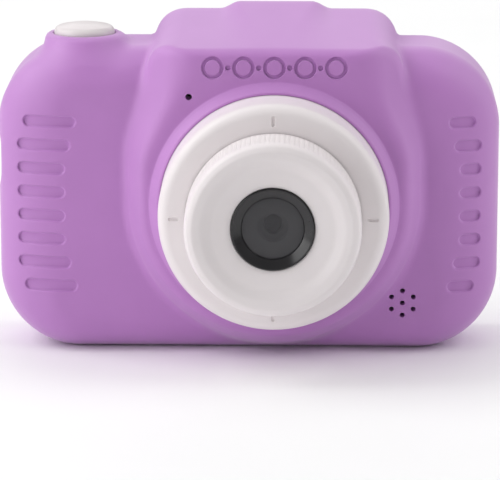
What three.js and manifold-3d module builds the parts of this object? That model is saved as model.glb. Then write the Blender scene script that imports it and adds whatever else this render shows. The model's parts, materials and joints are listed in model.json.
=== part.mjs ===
// Kids digital camera: a hard white camera in a soft purple silicone sleeve.
// Millimetres. +X to the right seen from the front, the front faces -Y, +Z up.
// The origin is under the middle of the object, on the surface it stands on.
import * as THREE from "three";
import { mergeVertices } from "three/addons/utils/BufferGeometryUtils.js";
import Module from "manifold-3d";

const wasm = await Module();
wasm.setup();

// ---- Driving dimensions -------------------------------------------------
const GAP = 0.3; // clearance between pieces that touch
const FAR = 60; // longer than any piece, for cutters

// Sleeve, and the whole object's depth
const WIDTH = 96;
const HEIGHT = 58.7;
const CORNER = 15.3;
const BODY_DEPTH = 24;
const LENS_REACH = 26.4; // from the body's front plane to the lens rim
const BACK_Y = (BODY_DEPTH + LENS_REACH) / 2;
const FRONT_Y = BACK_Y - BODY_DEPTH;
const RIM_Y = -BACK_Y;
const FRONT_FILLET = 7;
const REAR_FILLET = 4.5;
const SLEEVE_WALL = 2.3;
const SHELL_WALL = 1.8;
const MID_Z = HEIGHT / 2;

// Lens axis, and the raised block behind the lens that grows into the hump
const LENS_X = 5.1;
const LENS_Z = 30.2;
const BLOCK_RADIUS = 28.2;
const BLOCK_RISE = 4.6; // the block's front stands this far off the body's front plane
const BLOCK_EDGE = 5; // its soft edge
const HUMP_FOOT = 23.4; // half width where the hump meets the body's top
const HUMP_TOP = 17.3; // half width of its flat top
const HUMP_Z = 63.8;
const HUMP_DROP = 3.6; // the top falls this much towards the front
const HUMP_EDGE = 4; // the round between the hump's top and its front and back
const PLATEAU_Y = FRONT_Y - BLOCK_RISE;
const TIER_FOOT = 10.3;
const TIER_TOP = 7.5;
const TIER_Z = 65.1;
const BEAD_INNER = 21.9;
const BEAD_OUTER = 23.4;
const BEAD_Y = FRONT_Y - 6.4;

// Lens
const BEZEL_R = 21.6;
const TICK_Y = FRONT_Y - 16.6;
const TICK_INNER = 17.6;
const TICK_OUTER = 19.5;
const TICK_WIDTH = 0.6;
const RING_R = 16.4;
const RING_RIM_R = 14.9;
const RING_WALL = 1.8; // the ring is hollow behind, with an even wall
const KNURLS = 48;
const HOOD_R = 7.7;
const HOOD_Y = RIM_Y + 1.4;
const COVER_R = 5.8;

// Shutter button, in its raised collar
const SHUTTER_X = -31.6;
const SHUTTER_Y = FRONT_Y + 12;
const SHUTTER_R = 5.8;
const SHUTTER_TOP = 62.3;
const COLLAR_R = 7.5;
const COLLAR_Z = 60.2;
const SHUTTER_GUIDE_Z = 52.7; // lower end of the shell's guide, which the cap's flange rests under

// Boards and the rear plate
const BOARD_Y = 16.2;
const BOARD_T = 1.2;
const BOARD_BACK = BOARD_Y + BOARD_T;
const PARTING_Y = 19.6; // the front shell's rear edge
const FLANGE_Y = BACK_Y - SLEEVE_WALL - GAP; // the rear shell's back, under the sleeve's lip
const PLATE_Y = BACK_Y - 1.2; // the rear plate's outer face
const PLATE_T = 2;
const PLATE_W = 73;
const PLATE_H = 41;
const PLATE_CORNER = 5;
const SCREEN_X = 10;
const SCREEN_Z = MID_Z;
const WINDOW_W = 44;
const WINDOW_H = 36;
const SCREWS = [
  [-39.4, 46.8],
  [39.4, 46.8],
  [-39.2, 10.9],
  [39.2, 10.9],
];
const PAD_X = -24.6;
const PAD_Z = 24;
const PAD_STEP = 6.7;
const LED_Z = 46.2;
const REAR_BUTTONS = [
  ["power", -29.8, 41, 2.8],
  ["menu", -19.4, 41, 2.8],
  ["up", PAD_X, PAD_Z + PAD_STEP, 2.6],
  ["down", PAD_X, PAD_Z - PAD_STEP, 2.6],
  ["left", PAD_X + PAD_STEP, PAD_Z, 2.6],
  ["right", PAD_X - PAD_STEP, PAD_Z, 2.6],
  ["ok", PAD_X, PAD_Z, 2.8],
];

// Speaker, microphone, ports and lanyard eyelet
const SPEAKER = [29.65, 10.1];
const SPEAKER_PITCH = 2.4;
const SPEAKER_HOLE_R = 0.48;
const MIC = [-11, 51];
const MIC_HOLE_R = 0.65;
const USB_Z = 37.5;
const CARD_Z = 20.5;
const PORT_X = WIDTH / 2 - SLEEVE_WALL - GAP; // outer face of the shell's side
const EYELET_Z = 37;
const EYELET_Y = 10.5;
const BAR_X = 1.9 - PORT_X;

// Grip grooves: centre height of each row, and its inner and outer ends on each side
const GROOVE_H = 2.2;
const GROOVE_DEPTH = 0.9;
const GROOVE_PITCH = 4.57;
const GROOVE_TOP_Z = 45.2;
const GROOVE_ROWS = 8;

// ---- Solids -------------------------------------------------------------
function solid(geometry) {
  const plain = geometry.index ? geometry.toNonIndexed() : geometry;
  plain.deleteAttribute("normal");
  plain.deleteAttribute("uv");
  const merged = mergeVertices(plain, 1e-4);
  const made = new wasm.Manifold(
    new wasm.Mesh({
      numProp: 3,
      vertProperties: merged.attributes.position.array,
      triVerts: new Uint32Array(merged.index.array),
    }),
  );
  return made;
}

const join = (...solids) => solids.reduce((a, b) => a.add(b));
const cut = (a, ...cutters) => cutters.reduce((s, c) => s.subtract(c), a);

function box(x0, x1, y0, y1, z0, z1) {
  const g = new THREE.BoxGeometry(x1 - x0, y1 - y0, z1 - z0);
  return solid(g.translate((x0 + x1) / 2, (y0 + y1) / 2, (z0 + z1) / 2));
}

// A shape drawn in X and Z, extruded along Y, its ends rounded by edge
function prismY(shape, y0, y1, edge = 0, segments = 8, edgeSteps = 3, edgeDepth = edge) {
  const g = new THREE.ExtrudeGeometry(shape, {
    depth: y1 - y0 - 2 * edgeDepth,
    curveSegments: segments,
    bevelEnabled: edge > 0,
    bevelSize: edge,
    bevelThickness: edgeDepth,
    bevelOffset: -edge,
    bevelSegments: edgeSteps,
  });
  return solid(g.rotateX(Math.PI / 2).translate(0, y1 - edgeDepth, 0));
}

// A shape drawn in Y and Z, extruded along X
function prismX(shape, x0, x1, segments = 4) {
  const g = new THREE.ExtrudeGeometry(shape, {
    depth: x1 - x0,
    curveSegments: segments,
    bevelEnabled: false,
  });
  g.rotateX(Math.PI / 2).rotateZ(Math.PI / 2);
  return solid(g.translate(x0, 0, 0));
}

function rod(axis, r, from, to, u, v, segments = 24) {
  const g = new THREE.CylinderGeometry(r, r, to - from, segments);
  const mid = (from + to) / 2;
  if (axis === "x") return solid(g.rotateZ(Math.PI / 2).translate(mid, u, v));
  if (axis === "y") return solid(g.translate(u, mid, v));
  return solid(g.rotateX(Math.PI / 2).translate(u, v, mid));
}

// A lathe's profile has to run anticlockwise, seen with its axis on the left and pointing up
function latheGeometry(profile, segments) {
  const points = profile.map(([r, h]) => new THREE.Vector2(r, h));
  const outline = points[0].equals(points.at(-1)) ? points.slice(1) : points;
  if (THREE.ShapeUtils.area(outline) < 0) points.reverse();
  return new THREE.LatheGeometry(points, segments);
}

// A closed profile of [radius, y] points turned about the lens axis, or another Y axis
function turned(profile, segments = 64, x = LENS_X, z = LENS_Z) {
  return solid(latheGeometry(profile, segments).translate(x, 0, z));
}

// The same about a vertical axis, from [radius, z] points
function turnedZ(profile, x, y, segments = 28) {
  return solid(latheGeometry(profile, segments).rotateX(Math.PI / 2).translate(x, y, 0));
}

function roundedRect(width, height, radius, x = 0, z = MID_Z) {
  const s = new THREE.Shape();
  const w = width / 2 - radius;
  const h = height / 2 - radius;
  s.absarc(x + w, z + h, radius, 0, Math.PI / 2);
  s.absarc(x - w, z + h, radius, Math.PI / 2, Math.PI);
  s.absarc(x - w, z - h, radius, Math.PI, 1.5 * Math.PI);
  s.absarc(x + w, z - h, radius, 1.5 * Math.PI, 2 * Math.PI);
  s.closePath();
  return s;
}

// ---- The camera's outer form, inset by i --------------------------------
const SMOOTH = { arc: 4, round: 3 };
const PLAIN = { arc: 4, round: 2 };

function slab(i, backY, facets) {
  const outline = roundedRect(WIDTH - 2 * i, HEIGHT - 2 * i, CORNER - i);
  const { arc, round } = facets;
  const front = prismY(outline, FRONT_Y + i, backY + FAR, FRONT_FILLET - i, arc, round);
  const back = prismY(outline, FRONT_Y - FAR, backY, Math.max(REAR_FILLET - i, 0.8), arc, round);
  return front.intersect(back);
}

// Hump, flared flanks and the round block behind the lens, in one outline
function blockOutline(i) {
  const top = HUMP_Z - i;
  const s = new THREE.Shape();
  const right = (half) => LENS_X + half - i;
  const left = (half) => LENS_X - half + i;
  s.moveTo(left(HUMP_TOP), top);
  s.quadraticCurveTo(left(HUMP_FOOT - 1.6), top - 0.4, left(HUMP_FOOT), HEIGHT - i);
  s.lineTo(left(26.6), 48);
  s.quadraticCurveTo(left(BLOCK_RADIUS), 41, left(BLOCK_RADIUS), LENS_Z);
  s.absarc(LENS_X, LENS_Z, BLOCK_RADIUS - i, Math.PI, 2 * Math.PI);
  s.quadraticCurveTo(right(BLOCK_RADIUS), 41, right(26.6), 48);
  s.lineTo(right(HUMP_FOOT), HEIGHT - i);
  s.quadraticCurveTo(right(HUMP_FOOT - 1.6), top - 0.4, right(HUMP_TOP), top);
  s.closePath();
  return s;
}

// Side profile: the hump's top falls towards the front and rounds into the block's face,
// and below the hump the block ends inside the body
function blockProfile(i, backY) {
  const y0 = PLATEAU_Y + i;
  const top = HUMP_Z - i;
  const frontTop = top - HUMP_DROP;
  const r = Math.max(HUMP_EDGE - i, 1);
  const s = new THREE.Shape();
  s.moveTo(y0, -FAR);
  s.lineTo(FRONT_Y + 9, -FAR);
  s.lineTo(FRONT_Y + 9, HEIGHT - 7);
  s.lineTo(backY, HEIGHT - 7);
  s.lineTo(backY, top - r);
  s.quadraticCurveTo(backY, top, backY - r, top);
  s.lineTo(y0 + r, frontTop);
  s.quadraticCurveTo(y0, frontTop - 0.15 * r, y0, frontTop - r);
  s.closePath();
  return s;
}

function block(i, backY, facets) {
  const { arc, round } = facets;
  const edge = Math.max(BLOCK_EDGE - i, 0.8);
  const face = prismY(blockOutline(i), PLATEAU_Y + i, BACK_Y + FAR, edge, arc, round);
  return face.intersect(prismX(blockProfile(i, backY), -FAR, FAR));
}

const core = (i, backY, facets = SMOOTH) => join(slab(i, backY, facets), block(i, backY, facets));

function tier() {
  const s = new THREE.Shape();
  s.moveTo(LENS_X - TIER_FOOT, HUMP_Z - 2);
  s.lineTo(LENS_X + TIER_FOOT, HUMP_Z - 2);
  s.lineTo(LENS_X + TIER_FOOT, HUMP_Z - 0.2);
  s.quadraticCurveTo(LENS_X + TIER_FOOT - 1.2, TIER_Z, LENS_X + TIER_TOP, TIER_Z);
  s.lineTo(LENS_X - TIER_TOP, TIER_Z);
  s.quadraticCurveTo(LENS_X - TIER_FOOT + 1.2, TIER_Z, LENS_X - TIER_FOOT, HUMP_Z - 0.2);
  s.closePath();
  return prismY(s, BACK_Y - 17, BACK_Y - 2.5, 0.9, 4, 2);
}

// ---- Holes that several pieces share ------------------------------------
function speakerHoles(y0, y1, r) {
  const holes = [rod("y", r, y0, y1, ...SPEAKER, 8)];
  for (let n = 0; n < 6; n++) {
    const a = Math.PI / 2 + (n * Math.PI) / 3;
    const x = SPEAKER[0] + SPEAKER_PITCH * Math.cos(a);
    holes.push(rod("y", r, y0, y1, x, SPEAKER[1] + SPEAKER_PITCH * Math.sin(a), 8));
  }
  return holes;
}

// A round-ended slot along X between two ends, as a cutter through the front
function slot(x0, x1, z, height) {
  const outline = roundedRect(x1 - x0, height, height / 2 - 0.01, (x0 + x1) / 2, z);
  return prismY(outline, PLATEAU_Y - 5, FRONT_Y + 7, 0, 2);
}

function gripGrooves() {
  const grooves = [];
  for (let row = 0; row < GROOVE_ROWS; row++) {
    const z = GROOVE_TOP_Z - row * GROOVE_PITCH;
    const fromEnd = Math.min(row, GROOVE_ROWS - 1 - row);
    const taper = Math.max(2 - fromEnd, 0) * 1.15;
    const outer = 43.9 - (fromEnd === 0 ? 1.2 : 0);
    grooves.push(slot(-outer, -35 + taper, z, GROOVE_H));
    grooves.push(slot(40.4 - taper, outer + 0.3, z, GROOVE_H));
  }
  return join(...grooves);
}

// The debossed row on the hump's face: plain rings with dots between them
function humpPattern() {
  const z = 56.6;
  const pitch = 5.8;
  const marks = [];
  for (let n = -2; n <= 2; n++) {
    const x = LENS_X + n * pitch;
    const ring = cut(
      rod("y", 2.1, PLATEAU_Y - 5, FRONT_Y, x, z, 12),
      rod("y", 1.45, PLATEAU_Y - 6, FRONT_Y + 1, x, z, 12),
    );
    marks.push(ring);
    if (n < 2) marks.push(rod("y", 0.55, PLATEAU_Y - 5, FRONT_Y, x + pitch / 2, z, 6));
  }
  return join(...marks);
}

// A round-ended opening in the sleeve's or shell's side, along X
function sideOpening(x0, x1, y0, y1, z0, z1) {
  const r = Math.min(y1 - y0, z1 - z0) / 2 - 0.05;
  const s = new THREE.Shape();
  s.absarc(y1 - r, z1 - r, r, 0, Math.PI / 2);
  s.absarc(y0 + r, z1 - r, r, Math.PI / 2, Math.PI);
  s.absarc(y0 + r, z0 + r, r, Math.PI, 1.5 * Math.PI);
  s.absarc(y1 - r, z0 + r, r, 1.5 * Math.PI, 2 * Math.PI);
  s.closePath();
  return prismX(s, x0, x1, 4);
}

// ---- Materials ----------------------------------------------------------
const finish = (color, roughness, metalness = 0) =>
  new THREE.MeshStandardMaterial({ color, roughness, metalness });
const material = {
  silicone: () => finish(0xae7cb7, 0.6),
  white: () => finish(0xe2dddf, 0.42),
  blackGloss: () => finish(0x1c1b1e, 0.15),
  blackMatte: () => finish(0x222124, 0.6),
  glass: () => finish(0x45444a, 0.05),
  board: () => finish(0x1d6b3c, 0.5),
  steel: () => finish(0xb9bcc0, 0.3, 1),
  pouch: () => finish(0xb4b6b9, 0.45),
  foam: () => finish(0x2b2b2b, 0.95),
  polyimide: () => finish(0xb5762a, 0.4),
  cable: () => finish(0xb02020, 0.5),
  display: () => finish(0x101114, 0.2),
};

const camera = new THREE.Group();

function addPiece(name, made, look) {
  const { numProp, vertProperties, triVerts } = made.getMesh();
  const count = vertProperties.length / numProp;
  const position = new Float32Array(count * 3);
  for (let n = 0; n < count; n++) {
    position.set(vertProperties.subarray(n * numProp, n * numProp + 3), n * 3);
  }
  const g = new THREE.BufferGeometry();
  g.setAttribute("position", new THREE.BufferAttribute(position, 3));
  g.setIndex(new THREE.BufferAttribute(new Uint32Array(triVerts), 1));
  g.computeVertexNormals();
  const mesh = new THREE.Mesh(g, look());
  mesh.name = name;
  camera.add(mesh);
}

// ---- Sleeve -------------------------------------------------------------
function siliconeCase() {
  const skin = join(core(0, BACK_Y), tier());
  const bead = turned([
    [BEAD_INNER - 1, PLATEAU_Y + 3],
    [BEAD_OUTER, PLATEAU_Y + 3],
    [BEAD_OUTER, BEAD_Y + 0.7],
    [BEAD_OUTER - 0.3, BEAD_Y + 0.15],
    [BEAD_OUTER - 0.75, BEAD_Y],
    [BEAD_INNER - 1, BEAD_Y],
    [BEAD_INNER - 1, PLATEAU_Y + 3],
  ], 48);
  const collar = turnedZ(
    [
      [0, 50],
      [COLLAR_R, 50],
      [COLLAR_R, COLLAR_Z - 0.8],
      [COLLAR_R - 0.8, COLLAR_Z],
      [0, COLLAR_Z],
    ],
    SHUTTER_X,
    SHUTTER_Y,
  );
  const marks = join(gripGrooves(), humpPattern()).subtract(core(GROOVE_DEPTH, BACK_Y));
  const openings = [
    core(SLEEVE_WALL, BACK_Y - SLEEVE_WALL),
    rod("y", BEAD_INNER, RIM_Y, FRONT_Y + 6, LENS_X, LENS_Z, 48),
    rod("z", SHUTTER_R + 0.35, 50, FAR + 10, SHUTTER_X, SHUTTER_Y, 28),
    rod("y", MIC_HOLE_R, RIM_Y, FRONT_Y + 6, ...MIC, 12),
    ...speakerHoles(RIM_Y, FRONT_Y + 6, SPEAKER_HOLE_R),
    prismY(roundedRect(PLATE_W + 1, PLATE_H + 1, PLATE_CORNER + 0.5), BACK_Y - 4, BACK_Y + 1, 0, 5),
    sideOpening(42, FAR, 11, 17.6, USB_Z - 7, USB_Z + 7),
    sideOpening(42, FAR, 12.2, 17.6, CARD_Z - 7.5, CARD_Z + 7.5),
    sideOpening(-FAR, -42, EYELET_Y - 3.6, EYELET_Y + 3.6, EYELET_Z - 6, EYELET_Z + 6),
  ];
  return cut(join(skin, bead, collar), marks, ...openings);
}

// ---- Hard shells --------------------------------------------------------
const SHELL = SLEEVE_WALL + GAP;
const INSIDE = SHELL + SHELL_WALL;
const PORT_Y = BOARD_Y - GAP; // rear faces of the ports, in front of the board

function frontShell() {
  const half = box(-FAR, FAR, -FAR, PARTING_Y, -FAR, 2 * FAR);
  const cup = core(SHELL, FLANGE_Y).subtract(core(INSIDE, BACK_Y + 8, PLAIN));
  const guide = rod("z", SHUTTER_R + 1.2, SHUTTER_GUIDE_Z, 58, SHUTTER_X, SHUTTER_Y, 28);
  const bosses = SCREWS.map(([x, z]) => rod("y", 2.8, FRONT_Y + INSIDE - 1, PARTING_Y, x, z, 20));
  const pocket = box(
    -PORT_X + 1, -40.4,
    EYELET_Y - 3.7, EYELET_Y + 3.7,
    EYELET_Z - 5.6, EYELET_Z + 5.6,
  );
  const holes = [
    rod("y", 17, RIM_Y, FRONT_Y + 3, LENS_X, LENS_Z, 48),
    rod("z", SHUTTER_R + 0.35, 50, FAR + 10, SHUTTER_X, SHUTTER_Y, 28),
    rod("y", MIC_HOLE_R, RIM_Y, FRONT_Y + 1, ...MIC, 12),
    ...speakerHoles(RIM_Y, FRONT_Y + INSIDE + 0.5, SPEAKER_HOLE_R + 0.1),
    box(40, FAR, PORT_Y - 3.5, BOARD_Y, USB_Z - 4.8, USB_Z + 4.8),
    box(40, FAR, PORT_Y - 2.2, BOARD_Y, CARD_Z - 6.3, CARD_Z + 6.3),
    box(-FAR, -41.6, EYELET_Y - 2.5, EYELET_Y + 2.5, EYELET_Z - 4.4, EYELET_Z + 4.4),
    rod("y", 0.8 + GAP, EYELET_Y - 3.3, EYELET_Y + 3.3, BAR_X, EYELET_Z, 12),
    ...SCREWS.map(([x, z]) => rod("y", 0.9 + GAP, 9, PARTING_Y + 1, x, z, 12)),
  ];
  const inside = core(SHELL + 0.4, FLANGE_Y);
  return cut(join(cup, ...bosses, pocket, guide.intersect(inside)).intersect(half), ...holes);
}

function rearShell() {
  const half = box(-FAR, FAR, PARTING_Y + GAP, BACK_Y, -FAR, 2 * FAR);
  const lid = core(SHELL, FLANGE_Y).intersect(half);
  const plate = prismY(roundedRect(PLATE_W, PLATE_H, PLATE_CORNER), PARTING_Y + 1, PLATE_Y, 0.5, 5, 2);
  const hollow = prismY(roundedRect(PLATE_W - 3.6, PLATE_H - 3.6, 2), 0, PLATE_Y - PLATE_T, 0, 2);
  const recess = roundedRect(WINDOW_W + 2 * GAP, WINDOW_H + 2 * GAP, 2.5, SCREEN_X, SCREEN_Z);
  const view = roundedRect(40.8, 30.6, 0.8, SCREEN_X, SCREEN_Z);
  const holes = [
    prismY(recess, PLATE_Y - 1.1 - GAP, PLATE_Y + 1, 0, 3),
    prismY(view, PARTING_Y, PLATE_Y + 1, 0, 2),
    ...REAR_BUTTONS.map(([, x, z, r]) => rod("y", r + GAP, PARTING_Y, BACK_Y, x, z, 18)),
    rod("y", 1 + GAP, PARTING_Y, BACK_Y, PAD_X, LED_Z, 12),
    ...SCREWS.flatMap(([x, z]) => [
      rod("y", 0.9 + GAP, PARTING_Y - 1, BACK_Y, x, z, 12),
      rod("y", 2.2 + GAP, FLANGE_Y - 1.5, BACK_Y, x, z, 16),
    ]),
  ];
  return cut(join(lid, plate), hollow, ...holes);
}

function screw(x, z) {
  const head = rod("y", 2.2, FLANGE_Y - 1.2, FLANGE_Y, x, z, 16);
  const shank = rod("y", 0.9, 11, FLANGE_Y - 1, x, z, 12);
  const cross = [
    box(x - 1.1, x + 1.1, FLANGE_Y - 0.6, BACK_Y, z - 0.25, z + 0.25),
    box(x - 0.25, x + 0.25, FLANGE_Y - 0.6, BACK_Y, z - 1.1, z + 1.1),
  ];
  return cut(join(head, shank), ...cross);
}

addPiece("silicone_case", siliconeCase(), material.silicone);
addPiece("front_shell", frontShell(), material.white);
addPiece("rear_shell", rearShell(), material.white);
SCREWS.forEach(([x, z], n) => addPiece("case_screw_" + (n + 1), screw(x, z), material.steel));
addPiece(
  "lanyard_bar",
  rod("y", 0.8, EYELET_Y - 3, EYELET_Y + 3, BAR_X, EYELET_Z, 12),
  material.steel,
);

// ---- Lens ---------------------------------------------------------------
const BULKHEAD_Y = TICK_Y + 7.2;

function lensBezel() {
  const seat = PLATEAU_Y + SHELL - GAP; // rests on the front shell's face
  const barrel = turned([
    [14.3, TICK_Y],
    [BEZEL_R - 1.8, TICK_Y],
    [BEZEL_R - 0.6, TICK_Y + 0.6],
    [BEZEL_R, TICK_Y + 2],
    [BEZEL_R, seat],
    [16.7, seat],
    [16.7, seat + 3.7],
    [15, seat + 3.7],
    [15, seat - 1.6],
    [BEZEL_R - 1.8, seat - 1.6],
    [BEZEL_R - 1.8, TICK_Y + 1.8],
    [14.3, TICK_Y + 1.8],
    [14.3, TICK_Y],
  ], 48);
  const bulkhead = rod("y", BEZEL_R - 1, BULKHEAD_Y, BULKHEAD_Y + 1.4, LENS_X, LENS_Z, 48);
  const ticks = [0, 1, 2, 3].map((n) => {
    const a = (n * Math.PI) / 2;
    const mid = (TICK_INNER + TICK_OUTER) / 2;
    const g = new THREE.BoxGeometry(TICK_OUTER - TICK_INNER, 0.8, TICK_WIDTH);
    return solid(g.translate(mid, TICK_Y, 0).rotateY(a).translate(LENS_X, 0, LENS_Z));
  });
  const ribbonHole = box(LENS_X - 5, LENS_X + 5, -20, 0, LENS_Z - 12, LENS_Z - 8);
  return cut(join(barrel, cut(bulkhead, ribbonHole)), ...ticks);
}

function lensRing() {
  const webBack = RIM_Y + 1.7 + RING_WALL;
  const hub = HOOD_R + GAP + RING_WALL;
  const body = turned([
    [HOOD_R + GAP, RIM_Y + 1.9],
    [11, RIM_Y + 1.4],
    [13.2, RIM_Y + 0.7],
    [14.2, RIM_Y + 0.15],
    [RING_RIM_R, RIM_Y],
    [RING_R - 0.4, RIM_Y + 0.6],
    [RING_R, RIM_Y + 1.7],
    [RING_R, TICK_Y - GAP],
    [14, TICK_Y - GAP],
    [14, TICK_Y + 3],
    [12.2, TICK_Y + 3],
    [12.2, TICK_Y - GAP - RING_WALL],
    [RING_R - RING_WALL, TICK_Y - GAP - RING_WALL],
    [RING_R - RING_WALL, webBack],
    [hub, webBack],
    [hub, RIM_Y + 5.4],
    [HOOD_R + GAP, RIM_Y + 5.4],
    [HOOD_R + GAP, RIM_Y + 1.9],
  ], 48);
  const grooves = [];
  for (let n = 0; n < KNURLS; n++) {
    const a = (2 * Math.PI * n) / KNURLS;
    const x = LENS_X + (RING_R + 0.25) * Math.cos(a);
    const z = LENS_Z + (RING_R + 0.25) * Math.sin(a);
    grooves.push(rod("y", 0.45, RIM_Y + 1.8, TICK_Y - GAP - 0.8, x, z, 4));
  }
  return cut(body, ...grooves);
}

addPiece("lens_bezel", lensBezel(), material.white);
addPiece("lens_ring", lensRing(), material.white);
addPiece(
  "lens_hood",
  turned([
    [HOOD_R, HOOD_Y + 4],
    [4.8, HOOD_Y + 4],
    [4.8, HOOD_Y + 2.5],
    [COVER_R + GAP, HOOD_Y + 2.5],
    [COVER_R + GAP, HOOD_Y + 1.2],
    [HOOD_R - 1, HOOD_Y],
    [HOOD_R - 0.4, HOOD_Y],
    [HOOD_R, HOOD_Y + 0.5],
    [HOOD_R, HOOD_Y + 4],
  ], 36),
  material.blackGloss,
);
addPiece(
  "lens_cover",
  rod("y", COVER_R, HOOD_Y + 1.2, HOOD_Y + 2.2, LENS_X, LENS_Z, 36),
  material.glass,
);

// Camera module: a board on the bulkhead carries the sensor, holder and lens barrel
const MODULE_Y = BULKHEAD_Y - GAP;
const SENSOR_FRONT = MODULE_Y - 1.9;
addPiece(
  "sensor_board",
  box(LENS_X - 7, LENS_X + 7, MODULE_Y - 0.8, MODULE_Y, LENS_Z - 7, LENS_Z + 7),
  material.board,
);
addPiece(
  "image_sensor",
  box(LENS_X - 3, LENS_X + 3, SENSOR_FRONT, MODULE_Y - 1.1, LENS_Z - 3, LENS_Z + 3),
  material.blackMatte,
);
addPiece(
  "lens_holder",
  cut(
    box(LENS_X - 6, LENS_X + 6, MODULE_Y - 7.5, MODULE_Y - 1.1, LENS_Z - 6, LENS_Z + 6),
    box(LENS_X - 4, LENS_X + 4, SENSOR_FRONT - 1.5, MODULE_Y, LENS_Z - 4, LENS_Z + 4),
    rod("y", 3.6 + GAP, MODULE_Y - 9, MODULE_Y - 2, LENS_X, LENS_Z, 24),
  ),
  material.blackMatte,
);
const BARREL_FRONT = HOOD_Y + 3.2;
addPiece(
  "lens_barrel",
  turned([
    [1.2, BARREL_FRONT + 7.4],
    [1.2, BARREL_FRONT + 5],
    [1.9, BARREL_FRONT + 5],
    [1.9, BARREL_FRONT + 1.6],
    [2.6, BARREL_FRONT],
    [3.6, BARREL_FRONT],
    [3.6, BARREL_FRONT + 7.4],
    [1.2, BARREL_FRONT + 7.4],
  ], 20),
  material.blackMatte,
);
addPiece(
  "lens_element",
  turned([
    [0, BARREL_FRONT + 1.9],
    [1.1, BARREL_FRONT + 2.2],
    [1.6, BARREL_FRONT + 2.8],
    [1.6, BARREL_FRONT + 4.7],
    [0, BARREL_FRONT + 4.7],
  ], 16),
  material.glass,
);

// ---- Shutter button -----------------------------------------------------
// The cap's stem presses a plunger into the switch; both slide down together.
addPiece(
  "shutter_button",
  turnedZ(
    [
      [0, 50.6],
      [1.7, 50.6],
      [1.7, SHUTTER_GUIDE_Z - 1.4],
      [SHUTTER_R + 0.6, SHUTTER_GUIDE_Z - 1.4],
      [SHUTTER_R + 0.6, SHUTTER_GUIDE_Z - GAP],
      [SHUTTER_R, SHUTTER_GUIDE_Z - GAP],
      [SHUTTER_R, SHUTTER_TOP - 1.7],
      [SHUTTER_R - 0.5, SHUTTER_TOP - 0.9],
      [SHUTTER_R - 2, SHUTTER_TOP - 0.3],
      [0, SHUTTER_TOP],
    ],
    SHUTTER_X,
    SHUTTER_Y,
  ),
  material.white,
);
addPiece("shutter_plunger", rod("z", 1.6, 47, 50.3, SHUTTER_X, SHUTTER_Y, 16), material.blackMatte);
addPiece(
  "shutter_switch",
  cut(
    box(SHUTTER_X - 3, SHUTTER_X + 3, BOARD_Y - GAP - 5.6, BOARD_Y - GAP, 44.3, 49),
    rod("z", 1.6 + GAP, 45.6, 50, SHUTTER_X, SHUTTER_Y, 16),
  ),
  material.blackMatte,
);

// ---- Rear buttons -------------------------------------------------------
const SWITCH_BACK = BOARD_BACK + GAP + 2.3;
for (const [name, x, z, r] of REAR_BUTTONS) {
  const plateInner = PLATE_Y - PLATE_T;
  addPiece(
    name + "_button",
    turned([
      [0, SWITCH_BACK + 1],
      [r + 0.5, SWITCH_BACK + 1],
      [r + 0.5, plateInner - GAP],
      [r, plateInner - GAP],
      [r, BACK_Y - 0.6],
      [r - 0.5, BACK_Y - 0.2],
      [0, BACK_Y - 0.1],
    ], 18, x, z),
    material.white,
  );
  addPiece(
    name + "_plunger",
    rod("y", 1.1, SWITCH_BACK - 0.8, SWITCH_BACK + 0.7, x, z, 12),
    material.blackMatte,
  );
  addPiece(
    name + "_switch",
    cut(
      box(x - 2.5, x + 2.5, BOARD_BACK + GAP, SWITCH_BACK, z - 2.5, z + 2.5),
      rod("y", 1.1 + GAP, SWITCH_BACK - 1.6, SWITCH_BACK + 1, x, z, 12),
    ),
    material.blackMatte,
  );
}

// ---- Boards, display, power and sound -----------------------------------
addPiece(
  "main_board",
  cut(
    prismY(roundedRect(82, 41.6, 8), BOARD_Y, BOARD_BACK, 0, 4),
    ...SCREWS.map(([x, z]) => rod("y", 3.2, BOARD_Y - 1, BOARD_BACK + 1, x, z, 20)),
  ),
  material.board,
);
addPiece(
  "processor",
  box(LENS_X + 9, LENS_X + 19, BOARD_Y - GAP - 1, BOARD_Y - GAP, 36, 46),
  material.blackMatte,
);
const PANEL_FRONT = PLATE_Y - PLATE_T - GAP - 2.3;
const PANEL_FOOT = SCREEN_Z - 16.6;
addPiece(
  "display_panel",
  box(SCREEN_X - 24, SCREEN_X + 24, PANEL_FRONT, PANEL_FRONT + 2.3, PANEL_FOOT, SCREEN_Z + 18),
  material.display,
);
addPiece(
  "screen_window",
  prismY(
    roundedRect(WINDOW_W, WINDOW_H, 2.3, SCREEN_X, SCREEN_Z),
    PLATE_Y - 1.1, PLATE_Y, 0.2, 3, 1,
  ),
  material.glass,
);

// A flat ribbon: its centre line drawn in Y and Z, thickened, and extruded along X
function ribbon(points, x, width, thickness = 0.3) {
  const t = thickness / 2;
  const parts = points.slice(1).map(([y1, z1], n) => {
    const [y0, z0] = points[n];
    return box(
      x - width / 2, x + width / 2,
      Math.min(y0, y1) - t, Math.max(y0, y1) + t,
      Math.min(z0, z1) - t, Math.max(z0, z1) + t,
    );
  });
  return join(...parts);
}
const RIBBON_Y = BOARD_BACK + GAP + 0.15;
addPiece(
  "display_ribbon",
  ribbon(
    [
      [RIBBON_Y, PANEL_FOOT + 2],
      [RIBBON_Y, PANEL_FOOT - 1.1],
      [PANEL_FRONT + 1.2, PANEL_FOOT - 1.1],
      [PANEL_FRONT + 1.2, PANEL_FOOT - GAP - 0.15],
    ],
    12,
    14,
  ),
  material.polyimide,
);
addPiece(
  "sensor_ribbon",
  ribbon(
    [
      [MODULE_Y - 0.4, LENS_Z - 7.5],
      [MODULE_Y - 0.4, LENS_Z - 10],
      [PORT_Y - 0.15, LENS_Z - 10],
      [PORT_Y - 0.15, LENS_Z - 15],
    ],
    LENS_X,
    8,
  ),
  material.polyimide,
);

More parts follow.
